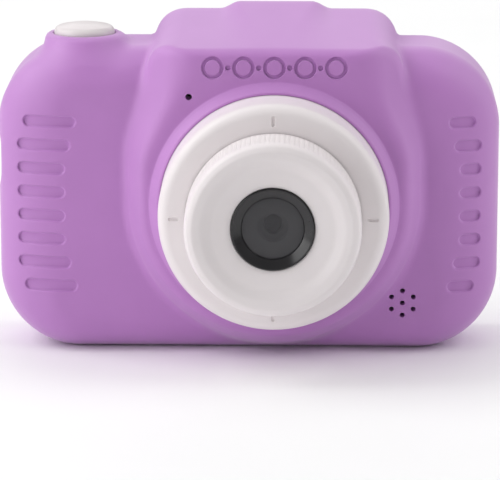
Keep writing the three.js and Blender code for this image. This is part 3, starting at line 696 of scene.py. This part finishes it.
def sleeve():
    """The silicone skin: its outer form, hollowed, with the bead, openings and marks."""
    points, quads = level_surface(sleeve_form, (-49, -4.6, -1), (49, 26.4, 66.4), 0.7)
    made = mesh_object("sleeve", points, quads.tolist())
    inner, faces = level_surface(cavity_form, (-46.6, -2, 1.4), (46.6, 24.2, 64.6), 1.3)
    cut(made, mesh_object("cavity", inner, faces.tolist()))
    bead = turned(
        "bead",
        [
            (BEAD_INNER - 1, PLATEAU_Y + 3), (BEAD_OUTER + 1.1, PLATEAU_Y + 1.5),
            (BEAD_OUTER + 0.5, PLATEAU_Y + 0.02), (BEAD_OUTER + 0.1, PLATEAU_Y - 0.1, 0.25),
            (BEAD_OUTER - 0.35, PLATEAU_Y - 0.6, 1.0), (BEAD_INNER + 0.2, BEAD_Y, 0.6),
            (BEAD_INNER - 1, BEAD_Y - 0.04),
        ],
        segments=192, steps=6,
    )
    combine(made, bead, "UNION")
    hole = turned(
        "hole",
        [
            (0, RIM_Y), (BEZEL_R + 1.6, BEAD_Y - 1.5), (BEZEL_R + 0.1, BEAD_Y),
            (BEZEL_R + 0.04, BEAD_Y + 0.25), (BEZEL_R + 0.04, FRONT_Y + 6), (0, FRONT_Y + 6),
        ],
        segments=192, closed=False,
    )
    well = turned_up(
        "well",
        [
            (0, 50), (SHUTTER_R + 0.35, 50), (SHUTTER_R + 0.35, COLLAR_Z - 3),
            (SHUTTER_R + 0.14, COLLAR_Z - 2), (SHUTTER_R + 0.14, COLLAR_Z - 0.35),
            (SHUTTER_R + 0.26, COLLAR_Z - 0.1), (SHUTTER_R + 1.3, COLLAR_Z + 0.6), (0, 66),
        ],
        SHUTTER_X, SHUTTER_Y, closed=False,
    )
    window = plate(
        "window",
        lambda inset: rect_outline(PLATE_W + 1, PLATE_H + 1, PLATE_CORNER + 0.5, 0, MID_Z, inset),
        BACK_Y - 4, BACK_Y - 0.5,
    )
    lip = []
    for grow, y in ((0, BACK_Y - 1), (0, BACK_Y - 0.55), (0.18, BACK_Y - 0.18),
                    (0.55, BACK_Y), (1.6, BACK_Y + 0.6)):
        flat = rect_outline(
            PLATE_W + 1 + 2 * grow, PLATE_H + 1 + 2 * grow, PLATE_CORNER + 0.5 + grow, 0, MID_Z
        )
        lip.append(np.stack([flat[:, 0], np.full(len(flat), y), flat[:, 1]], 1))
    cut(made, hole, well, window, loft("lip", lip))
    cut(
        made,
        side_cutter(42, 50, 11, 17.6, USB_Z - 7, USB_Z + 7),
        side_cutter(42, 50, 12.2, 17.6, CARD_Z - 7.5, CARD_Z + 7.5),
        side_cutter(-50, -42, EYELET_Y - 3.6, EYELET_Y + 3.6, EYELET_Z - 6, EYELET_Z + 6),
    )
    cut(made, grip_grooves(), hump_pattern(), sound_holes())
    shade(made)
    use_form_normals(made, sleeve_form)
    return made


# ---- Materials -----------------------------------------------------------------
def new_material(name, color, roughness, **sockets):
    made = bpy.data.materials.new(name)
    made.use_nodes = True
    shader = made.node_tree.nodes["Principled BSDF"]
    shader.inputs["Base Color"].default_value = color
    shader.inputs["Roughness"].default_value = roughness
    for socket, value in sockets.items():
        shader.inputs[socket.replace("_", " ")].default_value = value
    return made


def nodes_of(material):
    tree = material.node_tree
    return tree, tree.nodes["Principled BSDF"]


def noise(tree, size_mm, detail=3, stretch=(1, 1, 1)):
    """Noise fixed to the piece, with features about size_mm across."""
    place = tree.nodes.new("ShaderNodeTexCoord")
    mapping = tree.nodes.new("ShaderNodeMapping")
    mapping.inputs["Scale"].default_value = stretch
    made = tree.nodes.new("ShaderNodeTexNoise")
    made.inputs["Scale"].default_value = 1 / (size_mm * MM)
    made.inputs["Detail"].default_value = detail
    tree.links.new(place.outputs["Object"], mapping.inputs["Vector"])
    tree.links.new(mapping.outputs["Vector"], made.inputs["Vector"])
    return made.outputs["Fac"]


def mottle(material, color_a, color_b, size_mm, stretch=(1, 1, 1)):
    """The base colour drifts between two close colours."""
    tree, shader = nodes_of(material)
    ramp = tree.nodes.new("ShaderNodeValToRGB")
    ramp.color_ramp.elements[0].position = 0.35
    ramp.color_ramp.elements[1].position = 0.65
    ramp.color_ramp.elements[0].color = color_a
    ramp.color_ramp.elements[1].color = color_b
    tree.links.new(noise(tree, size_mm, 2, stretch), ramp.inputs["Fac"])
    tree.links.new(ramp.outputs["Color"], shader.inputs["Base Color"])


def grain(material, size_mm, depth_mm, low, high, stretch=(1, 1, 1)):
    """A fine bump, with roughness that follows it."""
    tree, shader = nodes_of(material)
    source = noise(tree, size_mm, 3, stretch)
    bump = tree.nodes.new("ShaderNodeBump")
    bump.inputs["Strength"].default_value = 1
    bump.inputs["Distance"].default_value = depth_mm * MM
    tree.links.new(source, bump.inputs["Height"])
    tree.links.new(bump.outputs["Normal"], shader.inputs["Normal"])
    spread = tree.nodes.new("ShaderNodeMapRange")
    spread.inputs["To Min"].default_value = low
    spread.inputs["To Max"].default_value = high
    tree.links.new(source, spread.inputs["Value"])
    tree.links.new(spread.outputs["Result"], shader.inputs["Roughness"])


def silicone():
    made = new_material(
        "silicone", (0.458, 0.185, 0.525, 1), 0.55, Sheen_Weight=0.35, Sheen_Roughness=0.5,
        Specular_IOR_Level=0.8
    )
    mottle(made, (0.452, 0.182, 0.519, 1), (0.464, 0.188, 0.531, 1), 9)
    grain(made, 0.16, 0.006, 0.5, 0.62)
    return made


def white_plastic(name="white_plastic", roughness=0.4, level=0.78):
    # The pink tint (green and blue a little below red) is partly the plastic's own colour and
    # partly a painted reflection of the purple sleeve.
    made = new_material(name, (level, level - 0.05, level - 0.04, 1), roughness)
    light, dark = level + 0.01, level - 0.01
    mottle(made, (dark, dark - 0.05, dark - 0.04, 1), (light, light - 0.05, light - 0.04, 1), 14)
    grain(made, 0.12, 0.003, roughness - 0.05, roughness + 0.06)
    return made


def black_gloss():
    made = new_material("black_gloss", (0.015, 0.014, 0.016, 1), 0.2)
    mottle(made, (0.014, 0.013, 0.015, 1), (0.016, 0.015, 0.017, 1), 3)
    grain(made, 0.3, 0.0008, 0.16, 0.26)
    return made


def cover_glass():
    """Smoked glass, let straight through by its alpha."""
    made = new_material("cover_glass", (0.045, 0.043, 0.049, 1), 0.06, Alpha=0.55)
    mottle(made, (0.043, 0.041, 0.047, 1), (0.047, 0.045, 0.051, 1), 4)
    grain(made, 2.5, 0.0005, 0.04, 0.09)
    return made


def inner_ring():
    made = new_material("inner_ring", (0.52, 0.51, 0.53, 1), 0.5)
    mottle(made, (0.51, 0.50, 0.52, 1), (0.53, 0.52, 0.54, 1), 3)
    grain(made, 0.2, 0.003, 0.42, 0.58)
    return made


def black_plastic(name="black_plastic", roughness=0.55):
    made = new_material(name, (0.018, 0.017, 0.020, 1), roughness)
    mottle(made, (0.016, 0.015, 0.018, 1), (0.022, 0.021, 0.024, 1), 2)
    grain(made, 0.14, 0.006, roughness - 0.08, roughness + 0.1)
    return made


def screen_glass(name="screen_glass"):
    made = new_material(name, (0.01, 0.011, 0.014, 1), 0.08)
    mottle(made, (0.022, 0.024, 0.029, 1), (0.026, 0.028, 0.034, 1), 12)
    grain(made, 5, 0.001, 0.05, 0.1)
    return made


def window_glass():
    """Dark glass with a black border printed round the picture."""
    made = screen_glass("window_glass")
    tree, shader = nodes_of(made)
    place = tree.nodes.new("ShaderNodeTexCoord")
    axes = tree.nodes.new("ShaderNodeSeparateXYZ")
    tree.links.new(place.outputs["Object"], axes.inputs["Vector"])
    inside = []
    for axis, middle, half in (("X", SCREEN_X, PICTURE_W / 2), ("Z", MID_Z, PICTURE_H / 2)):
        near = tree.nodes.new("ShaderNodeMath")
        near.operation = "COMPARE"
        near.inputs[1].default_value = middle * MM
        near.inputs[2].default_value = half * MM
        tree.links.new(axes.outputs[axis], near.inputs[0])
        inside.append(near.outputs["Value"])
    both = tree.nodes.new("ShaderNodeMath")
    both.operation = "MULTIPLY"
    tree.links.new(inside[0], both.inputs[0])
    tree.links.new(inside[1], both.inputs[1])
    border = tree.nodes.new("ShaderNodeMix")
    border.data_type = "RGBA"
    picture = shader.inputs["Base Color"].links[0].from_socket
    color_inputs = [socket for socket in border.inputs if socket.type == "RGBA"]
    color_inputs[0].default_value = (0.006, 0.006, 0.007, 1)
    tree.links.new(both.outputs["Value"], border.inputs["Factor"])
    tree.links.new(picture, color_inputs[1])
    mixed = [socket for socket in border.outputs if socket.type == "RGBA"][0]
    tree.links.new(mixed, shader.inputs["Base Color"])
    return made


def steel():
    made = new_material("steel", (0.62, 0.63, 0.65, 1), 0.3, Metallic=1.0)
    mottle(made, (0.58, 0.59, 0.61, 1), (0.68, 0.69, 0.70, 1), 1.2, (1, 12, 1))
    grain(made, 0.25, 0.002, 0.2, 0.38, (1, 12, 1))
    return made


def circuit_board():
    made = new_material("circuit_board", (0.01, 0.13, 0.045, 1), 0.4)
    mottle(made, (0.008, 0.11, 0.035, 1), (0.02, 0.17, 0.06, 1), 1.3, (1, 1, 3))
    grain(made, 0.5, 0.01, 0.3, 0.5)
    return made


def ribbon():
    made = new_material("ribbon", (0.45, 0.18, 0.03, 1), 0.35)
    mottle(made, (0.36, 0.13, 0.02, 1), (0.55, 0.24, 0.05, 1), 0.6, (3, 0.2, 0.2))
    grain(made, 0.4, 0.005, 0.25, 0.42, (3, 0.2, 0.2))
    return made


def pouch():
    made = new_material("pouch", (0.5, 0.51, 0.53, 1), 0.4, Metallic=0.6)
    mottle(made, (0.47, 0.48, 0.50, 1), (0.56, 0.57, 0.58, 1), 3)
    grain(made, 1.6, 0.05, 0.32, 0.5)
    return made


def foam():
    made = new_material("foam", (0.02, 0.02, 0.02, 1), 0.95)
    mottle(made, (0.015, 0.015, 0.015, 1), (0.035, 0.035, 0.035, 1), 0.4)
    grain(made, 0.3, 0.08, 0.88, 1.0)
    return made


def wire():
    made = new_material("wire", (0.42, 0.012, 0.012, 1), 0.4)
    mottle(made, (0.36, 0.010, 0.010, 1), (0.48, 0.016, 0.014, 1), 1.5)
    grain(made, 0.3, 0.004, 0.33, 0.47)
    return made


def light_guide():
    made = new_material("light_guide", (0.75, 0.78, 0.76, 1), 0.25, Transmission_Weight=0.4)
    mottle(made, (0.72, 0.76, 0.73, 1), (0.80, 0.82, 0.80, 1), 1)
    grain(made, 0.2, 0.002, 0.2, 0.32)
    return made


MATERIALS = {
    "silicone": silicone(),
    "white_plastic": white_plastic(),
    # Painted shade: button_plastic is a darker copy of the white plastic, so that the shutter cap's
    # top, which faces the top lamp, comes out less bright. The rear caps share it.
    "button_plastic": white_plastic("button_plastic", 0.36, 0.67),
    "switch_black": black_plastic("switch_black", 0.5),
    "black_gloss": black_gloss(),
    "lens_glass": cover_glass(),
    "inner_ring": inner_ring(),
    "black_plastic": black_plastic(),
    "rubber_black": foam(),
    "circuit_board": circuit_board(),
    "ribbon": ribbon(),
    "display": screen_glass(),
    "window": window_glass(),
    "pouch": pouch(),
    "wire": wire(),
    "bright_steel": steel(),
    "light_guide": light_guide(),
}


def finish_piece(piece, slot, body, *replaced):
    """Gives a piece its material and its body, and hides the CAD nodes that it stands for."""
    piece.data.materials.clear()
    piece.data.materials.append(MATERIALS[slot])
    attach(piece, body)
    if replaced:
        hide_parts(*replaced)


# ---- Lens ---------------------------------------------------------------------
def tick(angle):
    """A shallow round-ended groove, 0.6 mm wide, along a radius of the bezel's face."""
    inner, outer, half = 17.6, 19.5, 0.3
    rings = []
    for grow, y in ((0.5, TICK_Y - 0.4), (0.12, TICK_Y - 0.02), (0, TICK_Y + 0.12),
                    (-0.08, TICK_Y + 0.32), (-0.2, TICK_Y + 0.38)):
        flat = stadium(inner, outer, 0, half, grow)
        x = LENS_X + flat[:, 0] * math.cos(angle) - flat[:, 1] * math.sin(angle)
        z = LENS_Z + flat[:, 0] * math.sin(angle) + flat[:, 1] * math.cos(angle)
        rings.append(np.stack([x, np.full(len(x), y), z], 1))
    return loft("tick", rings)


def lens_bezel():
    seat = PLATEAU_Y + SLEEVE_WALL
    made = turned(
        "bezel",
        [
            (14.3, TICK_Y), (BEZEL_R, TICK_Y, 2.2), (BEZEL_R, seat), (16.7, seat),
            (16.7, seat + 3.7), (15, seat + 3.7), (15, seat - 1.6), (BEZEL_R - 1.8, seat - 1.6),
            (BEZEL_R - 1.8, TICK_Y + 2.4, 0.6), (14.3, TICK_Y + 2.4),
        ],
        segments=192, steps=10,
    )
    cut(made, *[tick(n * math.pi / 2) for n in range(4)])
    return shade(made)


def lens_ring():
    wall_start, wall_end = RIM_Y + 1.9, TICK_Y - GAP - 0.5
    web_back, pocket_back = RIM_Y + 1.7 + RING_WALL, TICK_Y - GAP - RING_WALL
    hub, wall_inside = HOOD_R + GAP + RING_WALL, RING_R - RING_WALL

    def ribs(angles, radius, y):
        if radius < RING_R - 0.25 or not wall_start - 0.1 < y < wall_end + 0.1:
            return 0
        deep = 0.12 if wall_start < y < wall_end else 0.05
        return deep * (1 - np.abs(np.cos(angles * RIBS / 2)) ** 0.6)

    made = turned(
        "ring",
        [
            (HOOD_R + 0.08, RIM_Y + 1.9, 0.2), (11.6, RIM_Y + 1.15, 4), (13.4, RIM_Y + 0.2, 2.5),
            (RING_RIM_R, RIM_Y, 1.0), (RING_R - 0.3, RIM_Y + 0.6, 1.2), (RING_R, wall_start),
            (RING_R, wall_start + 0.4), (RING_R, wall_end - 0.4), (RING_R, wall_end),
            (RING_R, TICK_Y - GAP), (14, TICK_Y - GAP), (14, TICK_Y + 3), (12.2, TICK_Y + 3),
            (12.2, pocket_back), (wall_inside, pocket_back), (wall_inside, web_back),
            (hub, web_back), (hub, RIM_Y + 5.4), (HOOD_R + 0.08, RIM_Y + 5.4),
        ],
        segments=RIBS * 8, ribs=ribs,
    )
    return made


def lens_hood():
    return turned(
        "hood",
        [
            (HOOD_R, HOOD_Y + 4), (4.8, HOOD_Y + 4), (4.8, HOOD_Y + 2.5),
            (COVER_R + 0.05, HOOD_Y + 2.5), (COVER_R + 0.05, HOOD_Y + 1.1, 0.08),
            (HOOD_R - 0.15, HOOD_Y, 0.25), (HOOD_R, HOOD_Y + 0.15),
        ],
        segments=160,
    )


def lens_cover():
    front, back = HOOD_Y + 1.2, HOOD_Y + 2.2
    return turned(
        "cover",
        [(0, front), (COVER_R, front, 0.18), (COVER_R, back, 0.1), (0, back)],
        segments=160, closed=False,
    )


def lens_barrel():
    """Its front flange fills the space behind the glass, round an opening."""
    front = HOOD_Y + 2.28
    return turned(
        "barrel",
        [
            (1.2, front + 8.3), (1.2, front + 5.9), (1.9, front + 5.9), (1.9, front + 2.7),
            (2.8, front + 2.4), (2.8, front, 0.1), (5.75, front, 0.06), (5.75, front + 0.18),
            (4.5, front + 0.18), (4.5, front + 1.4), (3.6, front + 1.4), (3.6, front + 8.3),
        ],
        segments=96,
    )


def lens_element():
    front = HOOD_Y + 5.1
    return turned(
        "element",
        [
            (0, front), (1.2, front + 0.12, 1.5), (1.6, front + 0.9, 0.1),
            (1.6, front + 2.8), (0, front + 2.8),
        ],
        segments=64, closed=False,
    )


# ---- Shutter button ---------------------------------------------------------------
def shutter_cap():
    """The domed cap, with its flange under the guide and a stem on the switch's plunger."""
    flange = SHUTTER_R + 0.6
    guide = SHUTTER_GUIDE_Z
    return turned_up(
        "shutter_cap",
        [
            (0, 50.6), (1.7, 50.6, 0.2), (1.7, guide - 1.4), (flange, guide - 1.4),
            (flange, guide - GAP), (SHUTTER_R, guide - GAP),
            (SHUTTER_R, SHUTTER_TOP - 0.7, 1.3), (2.2, SHUTTER_TOP, 8), (0, SHUTTER_TOP),
        ],
        SHUTTER_X, SHUTTER_Y, steps=10, closed=False,
    )


# ---- Rear cover, screen and buttons --------------------------------------------------
REAR_BUTTONS = {
    "power": (-29.8, 41, 2.8),
    "menu": (-19.4, 41, 2.8),
    "up": (PAD_X, PAD_Z + PAD_STEP, 2.6),
    "down": (PAD_X, PAD_Z - PAD_STEP, 2.6),
    "left": (PAD_X + PAD_STEP, PAD_Z, 2.6),
    "right": (PAD_X - PAD_STEP, PAD_Z, 2.6),
    "ok": (PAD_X, PAD_Z, 2.8),
}


def flared_hole(x, z, radius):
    return turned(
        "hole",
        [
            (0, 15), (radius, 15), (radius, PLATE_Y - 0.35), (radius + 0.1, PLATE_Y - 0.1),
            (radius + 0.9, PLATE_Y + 0.4), (0, PLATE_Y + 0.4),
        ],
        x, z, 64, closed=False,
    )


def rear_cover():
    """The flat back with its raised plate, and holes for the screen, buttons and indicator."""
    made = plate(
        "rear_cover",
        lambda inset: rect_outline(WIDTH - 5.2, HEIGHT - 5.2, CORNER - 2.6, 0, MID_Z, inset, 12),
        PARTING_Y + GAP, FLANGE_Y, 0, 1.4,
    )
    raised = plate(
        "raised",
        lambda inset: rect_outline(PLATE_W, PLATE_H, PLATE_CORNER, 0, MID_Z, inset, 12),
        PARTING_Y + 1, PLATE_Y, 0, 0.55,
    )
    combine(made, raised, "UNION")
    hollow = plate(
        "hollow",
        lambda inset: rect_outline(PLATE_W - 3.6, PLATE_H - 3.6, 2, 0, MID_Z, inset),
        0, PLATE_Y - 2,
    )
    recess = plate(
        "recess",
        lambda inset: rect_outline(
            WINDOW_W + 2 * GAP, WINDOW_H + 2 * GAP, 2.5, SCREEN_X, MID_Z, inset
        ),
        PLATE_Y - 1.1 - GAP, PLATE_Y + 1,
    )
    view = plate(
        "view",
        lambda inset: rect_outline(40.8, 30.6, 0.8, SCREEN_X, MID_Z, inset),
        PARTING_Y, PLATE_Y + 1,
    )
    cut(made, hollow, recess, view)
    cut(made, *[flared_hole(x, z, r + GAP) for x, z, r in REAR_BUTTONS.values()])
    cut(made, flared_hole(PAD_X, LED_Z, 1 + 0.12))
    return shade(made)


def screen_window():
    return plate(
        "screen",
        lambda inset: rect_outline(WINDOW_W, WINDOW_H, 2.3, SCREEN_X, MID_Z, inset, 10),
        PLATE_Y - 1.1, PLATE_Y, 0, 0.25,
    )


def rear_cap(x, z, r):
    foot = 21.0
    return turned(
        "cap",
        [
            (0, foot), (r + 0.5, foot), (r + 0.5, PLATE_Y - 2.3), (r, PLATE_Y - 2.3),
            (r, BACK_Y - 0.1, 0.45), (r - 1.0, BACK_Y - 0.12, 1.5), (0, BACK_Y - 0.3),
        ],
        x, z, 72, closed=False,
    )


# ---- Ports ---------------------------------------------------------------------
def node_box(name):
    """The low and high corners of a CAD node, in mm."""
    node = NODES[name]
    corners = np.array([node.matrix_world @ Vector(corner) for corner in node.bound_box]) / MM
    return corners.min(0), corners.max(0)


def side_ring(box, x, inset, radius):
    low, high = box
    size, middle = high - low, (low + high) / 2
    flat = rect_outline(size[1], size[2], radius, middle[1], middle[2], inset)
    return np.stack([np.full(len(flat), x), flat[:, 0], flat[:, 1]], 1)


def socket_shell(name, wall, radius, depth):
    """A drawn steel shell, open at the camera's right side."""
    box = node_box(name)
    back, face = box[0][0], box[1][0]
    steps = [
        (back, 0), (face - 0.12, 0), (face, 0.12), (face, wall - 0.12), (face - 0.12, wall),
        (face - depth, wall),
    ]
    return loft(name + "_shell", [side_ring(box, x, inset, radius) for x, inset in steps])


def usb_tongue():
    box = node_box("usb_port")
    face = box[1][0]
    steps = [
        (face - 6.7, 0.42), (face - 5.2, 0.42), (face - 5.2, 1.2), (face - 1.1, 1.2),
        (face - 1, 1.3),
    ]
    return loft("usb_tongue", [side_ring(box, x, inset, 1.4) for x, inset in steps])


def card_bed():
    low, high = node_box("card_socket")
    box = (low + np.array([0, 0.5, 0.5]), high - np.array([0, 0.85, 0.5]))
    face = high[0]
    return loft("card_bed", [side_ring(box, x, 0, 0.1) for x in (face - 12.6, face - 1)])


# ---- Building -----------------------------------------------------------------
add_camera()
finish_piece(sleeve(), "silicone", "camera", "silicone_case")
finish_piece(lens_bezel(), "white_plastic", "camera", "lens_bezel")
finish_piece(lens_ring(), "white_plastic", "camera", "lens_ring")
finish_piece(lens_hood(), "black_gloss", "camera", "lens_hood")
finish_piece(lens_cover(), "lens_glass", "camera", "lens_cover")
finish_piece(lens_barrel(), "inner_ring", "camera", "lens_barrel")
finish_piece(lens_element(), "lens_glass", "camera", "lens_element")
finish_piece(shutter_cap(), "button_plastic", "shutter", "shutter_button")
finish_piece(rear_cover(), "white_plastic", "camera", "rear_shell")
finish_piece(screen_window(), "window", "camera", "screen_window")
for button, place in REAR_BUTTONS.items():
    cap = rear_cap(*place)
    cap.name = button + "_cap"
    finish_piece(cap, "button_plastic", button, button + "_button")

finish_piece(socket_shell("usb_port", 0.4, 1.4, 6.8), "bright_steel", "camera", "usb_port")
finish_piece(usb_tongue(), "black_plastic", "camera")
finish_piece(socket_shell("card_socket", 0.4, 0.5, 12.8), "bright_steel", "camera", "card_socket")
finish_piece(card_bed(), "black_plastic", "camera")

for entry in frame["record"]["subparts"]:
    node = NODES[entry["node"]]
    if not node.hide_render:
        node.data.materials.clear()
        node.data.materials.append(MATERIALS[entry["material_slot"]])


# ---- Floor and light -------------------------------------------------------------
def add_floor():
    size = 3000
    made = mesh_object(
        "floor",
        [(-size, -size, 0), (size, -size, 0), (size, size, 0), (-size, size, 0)],
        [[0, 1, 2, 3]],
    )
    look = new_material("floor", (0.92, 0.92, 0.92, 1), 0.7)
    mottle(look, (0.915, 0.915, 0.915, 1), (0.925, 0.925, 0.925, 1), 60)
    made.data.materials.append(look)


def softbox(name, place, aim, width, height, power):
    data = bpy.data.lights.new(name, "AREA")
    data.shape = "RECTANGLE"
    data.size = width * MM
    data.size_y = height * MM
    data.energy = power
    made = bpy.data.objects.new(name, data)
    made.location = Vector(place) * MM
    direction = Vector(aim) * MM - made.location
    made.rotation_euler = direction.to_track_quat("-Z", "Y").to_euler()
    bpy.context.scene.collection.objects.link(made)


def add_light():
    world = bpy.data.worlds.new("studio")
    world.use_nodes = True
    world.node_tree.nodes["Background"].inputs["Color"].default_value = (1, 1, 1, 1)
    world.node_tree.nodes["Background"].inputs["Strength"].default_value = 0.3
    bpy.context.scene.world = world
    middle = (0, 0, 30)
    softbox("left_front", (-450, -330, 220), middle, 350, 350, 0.9)
    softbox("left_low", (-650, -100, 120), middle, 500, 500, 0.6)
    softbox("left_high", (-450, 0, 450), middle, 400, 400, 1.8)
    softbox("right_low", (650, 60, 120), middle, 500, 500, 0.95)
    softbox("right_high", (450, -60, 450), middle, 400, 400, 1.1)
    softbox("top", (0, 60, 700), middle, 600, 600, 1.0)
    softbox("backdrop", (0, 1000, 500), (0, 1000, 0), 1500, 900, 6)


add_floor()
add_light()
bpy.context.scene.view_settings.view_transform = "Standard"
